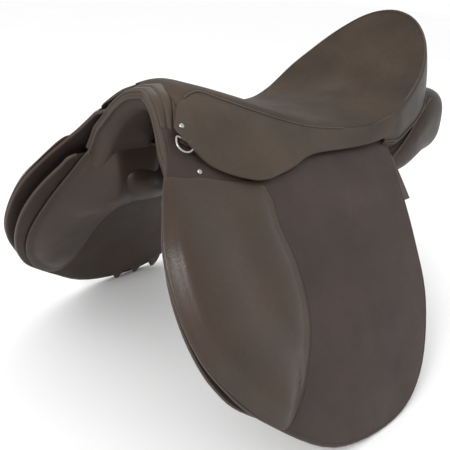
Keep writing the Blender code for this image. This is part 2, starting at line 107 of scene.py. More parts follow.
def metres(value):
    """A number or a table written in millimetres, in metres."""
    if isinstance(value, (list, tuple)):
        return [metres(each) for each in value]
    return value / 1000


def smooth(points, t):
    """The value at t of a smooth curve through (t, value) points."""
    if t <= points[0][0]:
        return points[0][1]
    if t >= points[-1][0]:
        return points[-1][1]
    i = max(k for k in range(len(points) - 1) if points[k][0] <= t)

    def slope(k):
        a, b = points[max(k - 1, 0)], points[min(k + 1, len(points) - 1)]
        return (b[1] - a[1]) / (b[0] - a[0])

    (t0, v0), (t1, v1) = points[i], points[i + 1]
    width = t1 - t0
    u = (t - t0) / width
    m0, m1 = slope(i) * width, slope(i + 1) * width
    return (v0 * (1 + 2 * u) * (1 - u) ** 2 + m0 * u * (1 - u) ** 2
            + v1 * u * u * (3 - 2 * u) + m1 * u * u * (u - 1))


def round_curve(points, steps, closed=True):
    """A smooth line through the points, steps vertices between each pair."""
    n = len(points)
    out = []
    for i in range(n if closed else n - 1):
        ends = [i - 1, i, i + 1, i + 2]
        if closed:
            a, b, c, d = (Vector(points[k % n]) for k in ends)
        else:
            a, b, c, d = (Vector(points[min(max(k, 0), n - 1)]) for k in ends)
        for j in range(steps):
            u = j / steps
            out.append(0.5 * (2 * b + (c - a) * u + (2 * a - 5 * b + 4 * c - d) * u * u
                              + (3 * b - a - 3 * c + d) * u ** 3))
    if not closed:
        out.append(Vector(points[-1]))
    return out


def spread(first, last, count):
    """Evenly spaced numbers from first to last."""
    return [first + (last - first) * i / (count - 1) for i in range(count)]


def ramp(value, low, high):
    """0 below low, 1 above high and smooth between."""
    t = min(max((value - low) / (high - low), 0.0), 1.0)
    return t * t * (3 - 2 * t)


def column(rows, k, t):
    """The value at t of one column of a table whose first column is t."""
    return smooth([(row[0], row[k]) for row in rows], t)


def lengths_along(points):
    """How far each point is along a line."""
    lengths = [0.0]
    for a, b in zip(points, points[1:]):
        lengths.append(lengths[-1] + (b - a).length)
    return lengths


def walk(points, shares):
    """The point and the direction of a line at each share of its length."""
    lengths = lengths_along(points)
    out, i = [], 0
    for share in shares:
        want = lengths[-1] * share
        while i < len(points) - 2 and lengths[i + 1] < want:
            i += 1
        part = (want - lengths[i]) / max(lengths[i + 1] - lengths[i], 1e-9)
        point = points[i].lerp(points[i + 1], min(max(part, 0.0), 1.0))
        out.append((point, (points[i + 1] - points[i]).normalized()))
    return out


def circle(middle, one, other, radius, count):
    """Points round a middle, in the plane of two directions."""
    return [middle + (one * math.cos(a) + other * math.sin(a)) * radius
            for a in (2 * math.pi * k / count for k in range(count))]


def flap_point(s, w, out, side):
    """A point w down the flap and out from its back, on the near or off side."""
    lean = FLAP_ANGLE - FLAP_BEND * w
    x = FLAP_TOP_X + w * math.sin(lean) + out * math.cos(lean)
    h = FLAP_TOP_H - w * math.cos(lean) + out * math.sin(lean)
    return place(side * x, s, h)


def flap_frame(w, side):
    """The directions rearwards, down the flap and out of it."""
    down = (flap_point(0, w + 0.005, 0, side) - flap_point(0, w - 0.005, 0, side)).normalized()
    rear = Vector((0, 1, 0))
    return rear, down, down.cross(rear) * side


def laid(points, out, side):
    """A line of (s, w) points laid on the flap, out from its back."""
    return [flap_point(s, w, out, side) for s, w in points]


# ---- meshes ----
def link_mesh(name, work, look):
    """A smooth-shaded object made from a bmesh, which is freed."""
    mesh = bpy.data.meshes.new(name)
    work.to_mesh(mesh)
    work.free()
    mesh.materials.append(look)
    mesh.shade_smooth()
    piece = bpy.data.objects.new(name, mesh)
    bpy.context.scene.collection.objects.link(piece)
    return piece


def finish_mesh(name, work, look, sharp=50):
    """As link_mesh, with doubled points merged and edges over sharp degrees kept crisp."""
    bmesh.ops.remove_doubles(work, verts=work.verts, dist=1e-6)
    bmesh.ops.recalc_face_normals(work, faces=work.faces)
    piece = link_mesh(name, work, look)
    piece.data.set_sharp_from_angle(angle=math.radians(sharp))
    return piece


def bridge(work, a, b):
    """Faces between two rings of vertices."""
    n = len(a)
    for i in range(n):
        work.faces.new((a[i], a[(i + 1) % n], b[(i + 1) % n], b[i]))


def loft(name, rings, look, sharp=50, around=False):
    """A skin through rings of points, closed at its ends or joined round to its start."""
    work = bmesh.new()
    rows = [[work.verts.new(p) for p in ring] for ring in rings]
    n = len(rows[0])
    for a, b in list(zip(rows, rows[1:])) + ([(rows[-1], rows[0])] if around else []):
        bridge(work, a, b)
    for row in () if around else (rows[0], rows[-1]):
        middle = work.verts.new(sum((v.co for v in row), Vector()) / n)
        for i in range(n):
            work.faces.new((row[i], row[(i + 1) % n], middle))
    return finish_mesh(name, work, look, sharp)


def tube(name, points, radius, look, sides=8, closed=False):
    """A round cord along a line, such as piping or wire."""
    rings, normal = [], None
    count = len(points)
    for i, p in enumerate(points):
        before = points[i - 1] if i or closed else p
        after = points[(i + 1) % count] if i < count - 1 or closed else p
        along = (after - before).normalized()
        if normal is None:
            normal = along.orthogonal().normalized()
        normal = (normal - along * normal.dot(along)).normalized()
        rings.append(circle(p, normal, along.cross(normal), radius, sides))
    return loft(name, rings, look, 60, around=closed)


STITCH = ((-0.5, 0.35), (-0.34, 1.0), (0.34, 1.0), (0.5, 0.35))  # share of its length, of its radius
STITCH_RADIUS, STITCH_SUNK = 0.00042, 0.35


def stitches(name, points, side, look, pitch=0.0040, length=0.0029):
    """A row of short thread capsules along a line on the flap or on a strap."""
    work = bmesh.new()
    out = flap_frame(0.15, side)[2]
    count = max(int(lengths_along(points)[-1] / pitch), 2)
    for p, along in walk(points, [(k + 0.5) / count for k in range(count)]):
        across = along.cross(out).normalized()
        rows = []
        for end, wide in STITCH:
            middle = p + along * length * end + out * STITCH_RADIUS * STITCH_SUNK
            ring = circle(middle, across, out, STITCH_RADIUS * wide, 6)
            rows.append([work.verts.new(q) for q in ring])
        for a, b in zip(rows, rows[1:]):
            bridge(work, a, b)
        work.faces.new(rows[0])
        work.faces.new(rows[-1])
    bmesh.ops.recalc_face_normals(work, faces=work.faces)
    return link_mesh(name, work, look)


def inset_outline(outline, distance):
    """The outline moved inwards along its own normals."""
    n = len(outline)
    area = sum(outline[i].x * outline[(i + 1) % n].y - outline[(i + 1) % n].x * outline[i].y
               for i in range(n))
    turn = 1 if area > 0 else -1
    out = []
    for i in range(n):
        along = (outline[(i + 1) % n] - outline[i - 1]).normalized()
        out.append(outline[i] + Vector((-along.y, along.x)) * distance * turn)
    return out


LEAF_SHARES = (0.0, 0.12, 0.25, 0.40, 0.54, 0.66, 0.76, 0.84, 0.90, 0.94, 0.97)
GROOVE = ((0.0052, 0.0), (0.0046, 1.0), (0.0040, 0.0))  # inset from the edge, share of its depth


def leaf(name, shape, back, face, side, look, edge=0.0012, groove=0.0):
    """A leather piece that lies along the flap inside a closed outline of (s, w).

    back and face give the height of its two sides over the flap's back at a point,
    given how far in that point is (0 at the edge, 1 at the centre)."""
    centre = sum(shape, Vector((0, 0))) / len(shape)
    inside = inset_outline(shape, 0.0065)
    profile = [([centre + (p - centre) * k for p in inside], 1 - k, 0.0) for k in LEAF_SHARES]
    profile.append((inside, 0.02, 0.0))
    if groove:
        profile += [(inset_outline(shape, inset), 0.01, dip * groove) for inset, dip in GROOVE]
    profile.append((inset_outline(shape, edge), 0.0, 0.0))

    def ring(points, height):
        return [flap_point(p.x, p.y, height(p), side) for p in points]

    over = [ring(points, lambda p: face(p, depth) - dip) for points, depth, dip in profile]
    under = [ring(points, lambda p: back(p, depth)) for points, depth, _ in profile]
    rim = []
    for a in (math.radians(angle) for angle in (50, 0, -50)):
        rim.append(ring(inset_outline(shape, edge * (1 - math.cos(a))),
                        lambda p: (face(p, 0) + back(p, 0)) / 2
                        + (face(p, 0) - back(p, 0)) / 2 * math.sin(a)))
    return loft(name, over + rim + under[::-1], look, 60)


def soften(piece, voxel, pressure, cap):
    """Swell a closed shape like a stuffed pad: remesh, cloth pressure, then one subdivision."""
    look = piece.data.materials[0]
    remesh = piece.modifiers.new("remesh", "REMESH")
    remesh.mode = "VOXEL"
    remesh.voxel_size = voxel
    apply_modifiers(piece)
    swell(piece, pressure, cap)
    even = piece.modifiers.new("even", "SMOOTH")
    even.iterations = 4
    even.factor = 0.5
    finer = piece.modifiers.new("finer", "SUBSURF")
    finer.levels = finer.render_levels = 1
    apply_modifiers(piece)
    piece.data.materials.clear()
    piece.data.materials.append(look)
    piece.data.shade_smooth()


def apply_modifiers(piece):
    graph = bpy.context.evaluated_depsgraph_get()
    mesh = bpy.data.meshes.new_from_object(piece.evaluated_get(graph))
    piece.modifiers.clear()
    old, piece.data = piece.data, mesh
    bpy.data.meshes.remove(old)


def swell(piece, pressure, cap):
    """Twenty frames of cloth under pressure; no point moves further than cap."""
    cloth = piece.modifiers.new("cloth", "CLOTH")
    cloth.settings.quality = 4
    cloth.settings.use_pressure = True
    cloth.settings.uniform_pressure_force = pressure
    cloth.settings.tension_stiffness = 12
    cloth.settings.compression_stiffness = 12
    cloth.settings.bending_stiffness = 1.5
    cloth.settings.effector_weights.gravity = 0
    cloth.collision_settings.use_collision = False
    scene = bpy.context.scene
    for number in range(1, 21):
        scene.frame_set(number)
    graph = bpy.context.evaluated_depsgraph_get()
    moved = [v.co.copy() for v in piece.evaluated_get(graph).data.vertices]
    piece.modifiers.clear()
    for v, swollen in zip(piece.data.vertices, moved):
        step = swollen - v.co
        if step.length > cap:
            step = step.normalized() * cap
        v.co = v.co + step
    scene.frame_set(1)


# ---- materials ----
class Paint:
    """A material, with the nodes that the looks are made of."""

    def __init__(self, name):
        self.made = bpy.data.materials.new(name)
        self.made.use_nodes = True
        self.nodes, self.links = self.made.node_tree.nodes, self.made.node_tree.links
        self.shader = self.nodes["Principled BSDF"]
        self.where = self.nodes.new("ShaderNodeTexCoord").outputs["Object"]

    def fill(self, node, inputs):
        """Give sockets a number, a colour or a link from another node's output."""
        for key, value in inputs.items():
            if isinstance(value, bpy.types.NodeSocket):
                self.links.new(value, node.inputs[key])
            elif isinstance(value, tuple):
                node.inputs[key].default_value = (*value, 1.0)
            else:
                node.inputs[key].default_value = value

    def node(self, kind, inputs, **settings):
        """A new node's outputs."""
        made = self.nodes.new("ShaderNode" + kind)
        for key, value in settings.items():
            setattr(made, key, value)
        self.fill(made, inputs)
        return made.outputs

    def done(self, inputs):
        self.fill(self.shader, inputs)
        return self.made

    def noise(self, scale, detail=3.0, rough=0.55):
        return self.node("TexNoise", {"Vector": self.where, "Scale": scale, "Detail": detail,
                                      "Roughness": rough})["Fac"]

    def bands(self, direction, scale, distortion):
        return self.node("TexWave", {"Vector": self.where, "Scale": scale,
                                     "Distortion": distortion}, bands_direction=direction)["Fac"]

    def span(self, value, low, high, from_low=0.3, from_high=0.7):
        """Map a value onto another range."""
        return self.node("MapRange", {"Value": value, "From Min": from_low, "From Max": from_high,
                                      "To Min": low, "To Max": high})["Result"]

    def mixed(self, part, first, second):
        """A mix of two colours, each a colour or another node's output."""
        return self.node("Mix", {"Factor": part, 6: first, 7: second}, data_type="RGBA")[2]

    def bumped(self, height, distance, strength, before=None):
        inputs = {"Height": height, "Distance": distance, "Strength": strength}
        if before is not None:
            inputs["Normal"] = before
        return self.node("Bump", inputs)["Normal"]


def shade(colour, share):
    return tuple(c * share for c in colour)


def leather(name, colour, rough, grain, wear, sheen, shine):
    """Vegetable-tanned leather: mottled dye, pebbled grain, soft creases and rubbed edges."""
    paint = Paint(name)
    warm = (colour[0] * 1.30, colour[1] * 1.16, colour[2] * 1.06)
    blotch = paint.span(paint.noise(11.0, 4.0), 0.0, 1.0)
    tone = paint.mixed(blotch, shade(colour, 0.74), warm)
    speck = paint.span(paint.noise(190.0, 5.0, 0.65), 0.0, 0.30)
    tone = paint.mixed(speck, tone, shade(colour, 0.55))
    cells = paint.node("TexVoronoi", {"Vector": paint.where, "Scale": 1.0 / grain},
                       feature="DISTANCE_TO_EDGE")["Distance"]
    pebble = paint.span(cells, 0.0, 1.0, 0.0, 0.32)
    rubbed = paint.span(paint.node("NewGeometry", {})["Pointiness"], 0.0, wear, 0.515, 0.60)
    tone = paint.mixed(rubbed, tone, tuple(min(c * 2.1, 1.0) for c in warm))
    folds = paint.bumped(paint.noise(62.0, 4.0, 0.5), 0.0009, 0.22)
    return paint.done({
        "Base Color": tone,
        "Roughness": paint.span(paint.noise(26.0, 4.0), rough - 0.07, rough + 0.08),
        "Normal": paint.bumped(pebble, 0.00010, 0.55, folds),
        "Sheen Weight": sheen, "Sheen Roughness": 0.45, "Specular IOR Level": shine})


def metal(name, colour, rough, scratch):
    """Polished or forged metal, hazed and finely scratched."""
    paint = Paint(name)
    haze = paint.span(paint.noise(240.0, 4.0), 0.0, 1.0)
    return paint.done({
        "Base Color": paint.mixed(haze, shade(colour, 0.78), colour),
        "Roughness": paint.span(paint.noise(520.0, 3.0), rough * 0.7, rough * 1.5),
        "Normal": paint.bumped(paint.noise(900.0, 2.0), scratch, 0.4), "Metallic": 1.0})


def wood(name, colour):
    """Laminated beech: thin plies with a glue line between them."""
    paint = Paint(name)
    grain = paint.noise(75.0, 6.0)
    plies = paint.span(paint.bands("Z", 110.0, 1.2), 0.0, 0.7, 0.1, 0.9)
    tone = paint.mixed(plies, colour, shade(colour, 0.62))
    tone = paint.mixed(paint.span(grain, 0.0, 0.5), tone, shade(colour, 0.48))
    return paint.done({"Base Color": tone, "Roughness": paint.span(grain, 0.38, 0.60),
                       "Normal": paint.bumped(grain, 0.0003, 0.4)})


def woven(name, colour, pitch):
    """Plain-woven linen: two sets of threads that pass over each other."""
    paint = Paint(name)
    warp, weft = (paint.bands(direction, 0.314 / pitch, 0.6) for direction in ("X", "Y"))
    weave = paint.node("Math", {0: warp, 1: weft}, operation="MAXIMUM")["Value"]
    tone = paint.mixed(paint.span(weave, 0.0, 1.0, 0.2, 1.0), shade(colour, 0.55), colour)
    dirt = paint.span(paint.noise(34.0, 5.0), 0.0, 0.35)
    return paint.done({"Base Color": paint.mixed(dirt, tone, shade(colour, 0.5)), "Roughness": 0.92,
                       "Normal": paint.bumped(weave, 0.0004, 0.7), "Sheen Weight": 0.25})


def felt(name, colour):
    """Matted fibres, for padding and thread."""
    paint = Paint(name)
    fibre = paint.noise(420.0, 6.0, 0.7)
    tone = paint.mixed(paint.span(fibre, 0.0, 1.0), shade(colour, 0.7), colour)
    return paint.done({"Base Color": tone, "Roughness": 0.95,
                       "Normal": paint.bumped(fibre, 0.0006, 0.6)})


LEATHERS = {  # colour, roughness, grain size, rubbed edges, sheen, shine
    "seat_leather": ((0.060, 0.0475, 0.0380), 0.62, 0.0011, 0.20, 0.01, 0.05),
    "skirt_leather": ((0.056, 0.0415, 0.0300), 0.52, 0.0011, 0.25, 0.03, 0.26),
    "parted_leather": ((0.056, 0.0415, 0.0300), 0.52, 0.0011, 0.0, 0.03, 0.26),
    "flap_leather": ((0.0325, 0.0202, 0.0166), 0.50, 0.0013, 0.40, 0.04, 0.34),
    "pad_leather": ((0.0375, 0.0220, 0.0130), 0.30, 0.0010, 0.12, 0.01, 0.42),
    "panel_leather": ((0.032, 0.0200, 0.0147), 0.44, 0.0009, 0.20, 0.02, 0.28),
    "strap_leather": ((0.034, 0.0240, 0.0180), 0.44, 0.0008, 0.40, 0.04, 0.34),
    "trim_leather": ((0.038, 0.0290, 0.0230), 0.46, 0.0008, 0.35, 0.03, 0.34),
}
LOOKS = {name: leather(name, *values) for name, values in LEATHERS.items()}
LOOKS["nickel"] = metal("nickel", (0.46, 0.45, 0.42), 0.28, 0.00003)
LOOKS["forged_steel"] = metal("forged_steel", (0.52, 0.52, 0.52), 0.34, 0.00006)
LOOKS["tree_wood"] = wood("tree_wood", (0.42, 0.28, 0.16))
LOOKS["web"] = woven("linen_web", (0.42, 0.37, 0.28), 0.0012)
LOOKS["foam"] = felt("felt_padding", (0.60, 0.56, 0.46))
THREAD = felt("thread", (0.085, 0.066, 0.050))
PALE_THREAD = felt("pale_thread", (0.26, 0.22, 0.17))


# ---- how pieces ride ----
def on_body(piece, body, slot, *nodes):
    """A piece that moves with one body, in place of CAD nodes; its slot is not used."""
    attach(piece, body)
    if nodes:
        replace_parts(piece, *nodes)


def on_saddle(piece, slot, *nodes):
    on_body(piece, "saddle", slot, *nodes)


def welt(name, points, radius, sides=8, closed=False):
    """Piping on the body of the saddle."""
    cord = tube(name, points, radius, LOOKS["trim_leather"], sides, closed)
    on_saddle(cord, "trim_leather")


def on_flap(piece, slot, side, *nodes):
    """Flap leather is nailed to the tree along its top line; the piece's placement is baked into its
    mesh, in place of CAD nodes.
    """
    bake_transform(piece)
    if nodes:
        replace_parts(piece, *nodes)


# ---- the top surface: half sections from the centre line outwards ----
SEAT_ROWS = metres([  # s, then (x, h) of the ridge, two points across and the seat's edge
    (26, (0, 1), (18, -1), (35, -5.5), (48, -11.5)),
    (34, (0, 1.2), (16, -0.2), (32, -4), (44.8, -8)),
    (44, (0, 2), (15, 1), (30, -1.5), (41.8, -4.5)),
    (60, (0, 1), (14, 0.6), (28, -1), (40, -3.5)),
    (80, (0, -4), (18, -4.5), (36, -7), (49, -11)),
    (115, (0, -14), (24, -15), (46, -18), (65.5, -24.5)),
    (158, (0, -28), (29, -29), (58, -32.5), (80, -40)),
    (200, (0, -41), (36, -42.5), (68, -46), (90.5, -52)),
    (250, (0, -51), (46, -53), (78, -55.5), (98.5, -60)),
    (300, (0, -54), (55, -57), (90, -59.5), (108, -62)),
    (345, (0, -50), (60, -54.5), (100, -55), (118, -53)),
    (400, (0, -28), (60, -31), (98, -27), (117, -18)),
    (440, (0, 2), (50, 1), (85, 5), (104, 10)),
    (480, (0, 44), (38, 44), (62, 45), (78.8, 46)),
    (507, (0, 77), (0, 77), (0, 77), (0, 77))])
SKIRT_ROWS = metres([  # s, then (x, h) of the seam and three points down past the lower edge
    (3, (66.5, -31), (79, -42), (93, -60), (112, -86)),
    (12, (59, -21), (74.5, -36), (89, -55), (111, -83)),
    (19, (51.5, -13.5), (69.5, -31), (86, -52), (110, -83)),
    (30, (46, -9), (65, -27), (83, -50), (111, -84)),
    (44, (41.8, -4.5), (62, -23), (85, -50), (114, -86)),
    (60, (40, -3.5), (62, -23), (88, -53), (118, -88)),
    (80, (49, -11), (70, -29), (95, -58), (122, -90)),
    (115, (65.5, -24.5), (84, -43), (103, -65), (126, -92)),
    (158, (80, -40), (92, -53), (105, -69), (123, -92)),
    (200, (90.5, -52), (99, -61), (107, -71), (118, -86)),
    (250, (98.5, -60), (106, -68), (112, -77), (119, -89)),
    (300, (108, -62), (114, -71), (117, -80), (119.5, -90)),
    (345, (118, -53), (118.8, -65), (118.4, -78), (117.6, -90)),
    (372, (120, -39.5), (120.5, -57), (119.5, -74), (118, -90))])
SKIRT_EDGE = metres([  # s and w of the skirt's lower edge
    (3, -26), (8, -14), (14, -3), (26, 15), (45, 31), (76, 47), (97, 51), (123, 48), (147, 44),
    (172, 37), (198, 35), (243, 38), (287, 41), (323, 41), (372, 36)])


def row_points(rows, s):
    """The control points of a half section at s."""
    return [Vector([smooth([(row[0], row[k][axis]) for row in rows], s) for axis in (0, 1)])
            for k in range(1, len(rows[0]))]


def half_width(s):
    """Half the seat's width behind its widest part: a round cantle."""
    part = min(max((s - SEAT_WIDEST) / (SEAT_LENGTH - SEAT_WIDEST), 0.0), 1.0)
    return SEAT_HALF * (1 - part ** CANTLE_POWER) ** (1 / CANTLE_POWER)


def seat_section(s):
    """Half of the seat's section at s, with its height as a function of the share of its width."""
    points = row_points(SEAT_ROWS, s)
    wide = points[-1].x
    if s > 0.345:
        wide = half_width(s) * ramp(s, 0.345, 0.375) + wide * (1 - ramp(s, 0.345, 0.375))
    heights = list(zip((0.0, 0.47, 0.82, 1.0), [p.y for p in points]))
    return wide, heights


def rim_point(s):
    wide, heights = seat_section(s)
    return wide, heights[-1][1]


def cantle_stations(count):
    """Values of s that close up towards the cantle's rear edge."""
    return [SEAT_WIDEST + (SEAT_LENGTH - SEAT_WIDEST) * math.sin(a) ** (2 / CANTLE_POWER)
            for a in spread(0.10, math.pi / 2 - 0.012, count)]


def build_seat():
    """The seat: leather stretched over foam, rounded over at its edge."""
    stations = spread(0.027, 0.360, 50) + cantle_stations(30)
    across = [math.sin(a) for a in spread(-math.pi / 2, math.pi / 2, 41)]
    rings = []
    for s in stations:
        wide, heights = seat_section(s)
        turn = 0.0016 + 0.0030 * ramp(s, 0.20, 0.33)
        over, under = [], []
        for u in across:
            inner = (1 - abs(u)) * wide
            roll = turn - math.sqrt(max(turn ** 2 - max(turn - inner, 0.0) ** 2, 0.0))
            crown = 0.0010 * (1 - abs(u) ** 6)
            h = smooth(heights, abs(u)) + crown - roll - 0.0050 * (1 - ramp(s, 0.026, 0.040))
            over.append(place(u * wide, s, h))
            under.append(place(u * max(wide - 0.0035, 0.0), s, min(h, h - 0.0075 + roll)))
        rings.append(over + under[::-1])
    seat = loft("seat", rings, LOOKS["seat_leather"], 70)
    on_saddle(seat, "seat_leather", "seat_cover")


def skirt_path(s):
    """The skirt's face at s from its seam to its lower edge, as (x, h)."""
    _, down, _ = flap_frame(0.0, 1)

    def reach(p):
        at = place(p.x, s, p.y)
        return at.x * down.x + at.z * down.z

    edge = flap_point(s, smooth(SKIRT_EDGE, s), 0.0125, 1)
    limit = edge.x * down.x + edge.z * down.z
    line = round_curve(row_points(SKIRT_ROWS, s), 10, closed=False)
    kept = [line[0]]
    for p in line[1:]:
        if reach(p) >= limit:
            had = reach(kept[-1])
            part = min(max((limit - had) / max(reach(p) - had, 1e-9), 0.0), 1.0)
            kept.append(kept[-1].lerp(p, part))
            break
        kept.append(p)
    return kept


SKIRT_THICK = 0.0036
SKIRT_CUT = 0.200  # where the front part ends, behind the pommel


def skirt_ring(s, sign, thick):
    """A closed section of the skirt's leather, with a rounded lower edge."""
    face = [p for p, _ in walk(skirt_path(s), spread(0.0, 1.0, 26))]
    normals = []
    for i in range(len(face)):
        along = face[min(i + 1, len(face) - 1)] - face[max(i - 1, 0)]
        along = along.normalized() if along.length > 1e-9 else Vector((0.66, -0.75))
        normals.append(Vector((-along.y, along.x)))
    end, normal, half = face[-1], normals[-1], thick / 2
    along = Vector((normal.y, -normal.x))
    ring = list(face)
    for a in (math.radians(angle) for angle in (45, 90, 135)):
        ring.append(end + along * half * math.sin(a) - normal * half * (1 - math.cos(a)))
    ring += [p - n * thick for p, n in zip(reversed(face), reversed(normals))]
    return [place(sign * p.x, s, p.y) for p in ring]


def build_skirts():
    """Each skirt is one face of leather, parted along its hinge line and behind the pommel: a top
    band over the saddle and the flap, a front part over the stirrup bar, and a rear part sewn under
    the seat."""
    stations = [0.0032, 0.0045, 0.0065, 0.009, 0.012, 0.0155] + spread(0.020, 0.372, 76)
    for name, sign in SIDES:
        rings = []
        for s in stations:
            share = ramp(s, -0.004, 0.012) * (1 - 0.5 * ramp(s, 0.35, 0.37))
            rings.append(skirt_ring(s, sign, SKIRT_THICK * share))
        whole = loft(f"whole_{name}", rings, LOOKS["parted_leather"], 70)
        rear, down, _ = flap_frame(0.0, sign)
        hinge = flap_point(0.0, 0.0, HINGE_OUT, sign)
        parts = part_mesh(whole, hinge, down, hinge + rear * SKIRT_CUT, rear)
        for part, piece in parts.items():
            piece.name = f"skirt_{part}_{name}"
        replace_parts(parts["front"], f"skirt_{name}")
        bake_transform(parts["top"])
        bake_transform(parts["front"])
        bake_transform(parts["rear"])
        seams = [(s, skirt_path(s)[0]) for s in spread(0.034, 0.262, 70)]
        welt(f"skirt_welt_{name}", [place(sign * p.x, s, p.y + 0.0002) for s, p in seams], 0.0010)


def part_mesh(whole, hinge, down, cut, rear):
    """Part a closed mesh by two planes, each part closed again and shaded as the whole was."""
    work = bmesh.new()
    work.from_mesh(whole.data)
    for where, across in ((hinge, down), (cut, rear)):
        bmesh.ops.bisect_plane(work, geom=work.verts[:] + work.edges[:] + work.faces[:], dist=1e-7,
                               plane_co=where, plane_no=across)
    work.normal_update()

    def spot(v):
        return tuple(round(c, 6) for c in v.co)

    def region(face):
        middle = face.calc_center_median()
        if (middle - cut).dot(rear) > 0:
            return "rear"
        return "front" if (middle - hinge).dot(down) > 0 else "top"

    normals = {spot(v): v.normal.copy() for v in work.verts}
    parts = {}
    for want in ("top", "front", "rear"):
        copy = work.copy()
        drop = [f for f in copy.faces if region(f) != want]
        bmesh.ops.delete(copy, geom=drop, context="FACES")
        edges = [e for e in copy.edges if len(e.link_faces) == 1]
        bmesh.ops.holes_fill(copy, edges=edges, sides=0)
        bmesh.ops.triangulate(copy, faces=[f for f in copy.faces if len(f.verts) > 4])
        bmesh.ops.recalc_face_normals(copy, faces=copy.faces)
        part = link_mesh(want, copy, whole.data.materials[0])
        own = [tuple(normals.get(spot(v), v.normal)) for v in part.data.vertices]
        part.data.normals_split_custom_set_from_vertices(own)
        parts[want] = part
    work.free()
    bpy.data.objects.remove(whole, do_unlink=True)
    return parts


# ---- the cantle ----
FACING = metres([  # s, how deep the facing is, and how far its lower edge falls back from the rim
    (345, 36, 4), (360, 44, 3.5), (375, 54.5, 2.5), (400, 61, 1), (420, 65, -2), (440, 66, -5.5),
    (460, 66, -7.2), (480, 68, -7.5), (500, 60, -6.5), (507, 56, -6)])


def cantle_path():
    """Points round the rim from the near side to the off side, each with its outward direction."""
    side = []
    for s in spread(0.345, 0.373, 7) + cantle_stations(26):
        x, h = rim_point(s)
        side.append(Vector((x, s, h)))
    path = side + [Vector((0.0, SEAT_LENGTH, 0.077))]
    path += [Vector((-p.x, p.y, p.z)) for p in reversed(side)]
    out = []
    for i, p in enumerate(path):
        along = path[min(i + 1, len(path) - 1)] - path[max(i - 1, 0)]
        out.append((p, Vector((along.y, -along.x, 0.0)).normalized()))
    return out


def build_cantle():
    """The facing below the rim, with a welt along its lower edge, and the gusset under it."""
    rings, lower, rim, gusset = [], [], [], []
    up = Vector((0, 0, 1))
    for p, outward in cantle_path():
        deep, lean = column(FACING, 1, p.y), column(FACING, 2, p.y)
        top = place(*p)
        face, back = [], []
        for depth in spread(0.0015, deep, 16):
            inward = lean * depth / deep + 0.0010 * (1 - ramp(depth, 0.001, 0.008))
            inward -= 0.0016 * math.sin(math.pi * depth / deep)
            face.append(top - outward * (inward + 0.0006) - up * depth)
            back.append(top - outward * (inward + 0.0036) - up * depth)
        rings.append(face + back[::-1])
        lower.append(face[-1] + outward * 0.0006)
        rim.append(top - outward * 0.0016 - up * 0.0048)
        drop = 0.012 + 0.034 * ramp(p.y, 0.40, 0.50)
        skin = []
        for k in spread(0.0, 1.0, 9):
            puff = 0.004 * math.sin(math.pi * min(k * 1.15, 1.0))
            skin.append(face[-1] + outward * (puff - 0.004 - 0.004 * k) - up * drop * k)
        gusset.append(skin + [q - outward * 0.003 for q in reversed(skin)])
    on_saddle(loft("cantle_facing_skin", rings, LOOKS["trim_leather"], 70), "trim_leather",
              "cantle_facing")
    welt("cantle_welt", lower, 0.0017, 10)
    welt("cantle_rim_welt", rim, 0.0009)
    on_saddle(loft("rear_gusset", gusset, LOOKS["panel_leather"], 70), "panel_leather")


# ---- the pommel ----
ARCH = [  # t along the arch from its top, x, h
    (0.0, 0.0, -0.017), (0.20, 0.019, -0.022), (0.40, 0.038, -0.040), (0.60, 0.053, -0.066),
    (0.80, 0.072, -0.097), (1.0, 0.094, -0.127), (1.2, 0.114, -0.156)]


def arch_point(t, s, out):
    """A point at s, moved out from the arch's middle line at t, which is 0 at the top."""
    def middle(k):
        return Vector((column(ARCH, 1, k), column(ARCH, 2, k)))

    a = abs(t)
    along = Vector((1, 0)) if a < 0.02 else (middle(a + 0.02) - middle(a - 0.02)).normalized()
    point = middle(a) + Vector((-along.y, along.x)) * out
    return place(math.copysign(1, t) * point.x, s, point.y)


def pommel_front(t):
    """The pommel is cut back at the top and comes forward at the sides."""
    return 0.012 - 0.020 * min(abs(t), 0.6) / 0.6


def flare(t):
    """How far the pommel's leather spreads out over the flaps at its ends."""
    return 0.0045 * ramp(abs(t), 0.40, 0.65)


def arch_loft(name, reach, section, look, count=61):
    """A skin along the arch; section(t) gives a closed ring of (s, out)."""
    rings = [[arch_point(t, s, out) for s, out in section(t)]
             for t in spread(-reach, reach, count)]
    return loft(name, rings, look, 60)


def pommel_section(t):
    """The pommel's cover: a soft roll with a pleat and a groove, then a narrow rounded front."""
    f = pommel_front(t)
    side = abs(t)
    groove = f + 0.0100 - 0.0045 * ramp(side, 0.25, 0.50)
    pleat = f + 0.0225 - 0.0095 * ramp(side, 0.20, 0.50)
    dip = 0.0013 * ramp(side, 0.04, 0.16) * (1 - ramp(side, 0.42, 0.58))
    skin = [(0.050, 0.0165), (0.041, 0.0178), (pleat + 0.0035, 0.0180), (pleat, 0.0180 - dip),
            (pleat - 0.0028, 0.0178), (groove + 0.0026, 0.0170), (groove, 0.0149),
            (groove - 0.0022, 0.0156), (f + 0.0012, 0.0146), (f - 0.0010, 0.0126),
            (f - 0.0026, 0.0100), (f - 0.0030, 0.0070), (f - 0.0022, 0.0042), (f - 0.0006, 0.0026)]
    back = [(f + 0.0030, 0.0030), (f + 0.0045, 0.0100), (f + 0.0080, 0.0125), (0.050, 0.0140)]
    return [(s, out + flare(t)) for s, out in round_curve(skin, 4, closed=False) + back]


def lining_section(t):
    """The leather on the gullet side of the arch."""
    f = pommel_front(t)
    skin = [(f - 0.0006, 0.0040 + flare(t)), (f + 0.0002, flare(t) * 0.8),
            (f + 0.0022, -0.0050 + flare(t) * 0.4), (f + 0.0060, -0.0095),
            (f + 0.0130, -0.0130), (0.034, -0.0148), (0.058, -0.0155)]
    skin = round_curve(skin, 3, closed=False)
    return skin + [p + Vector((0.0010, 0.0016)) for p in reversed(skin)]


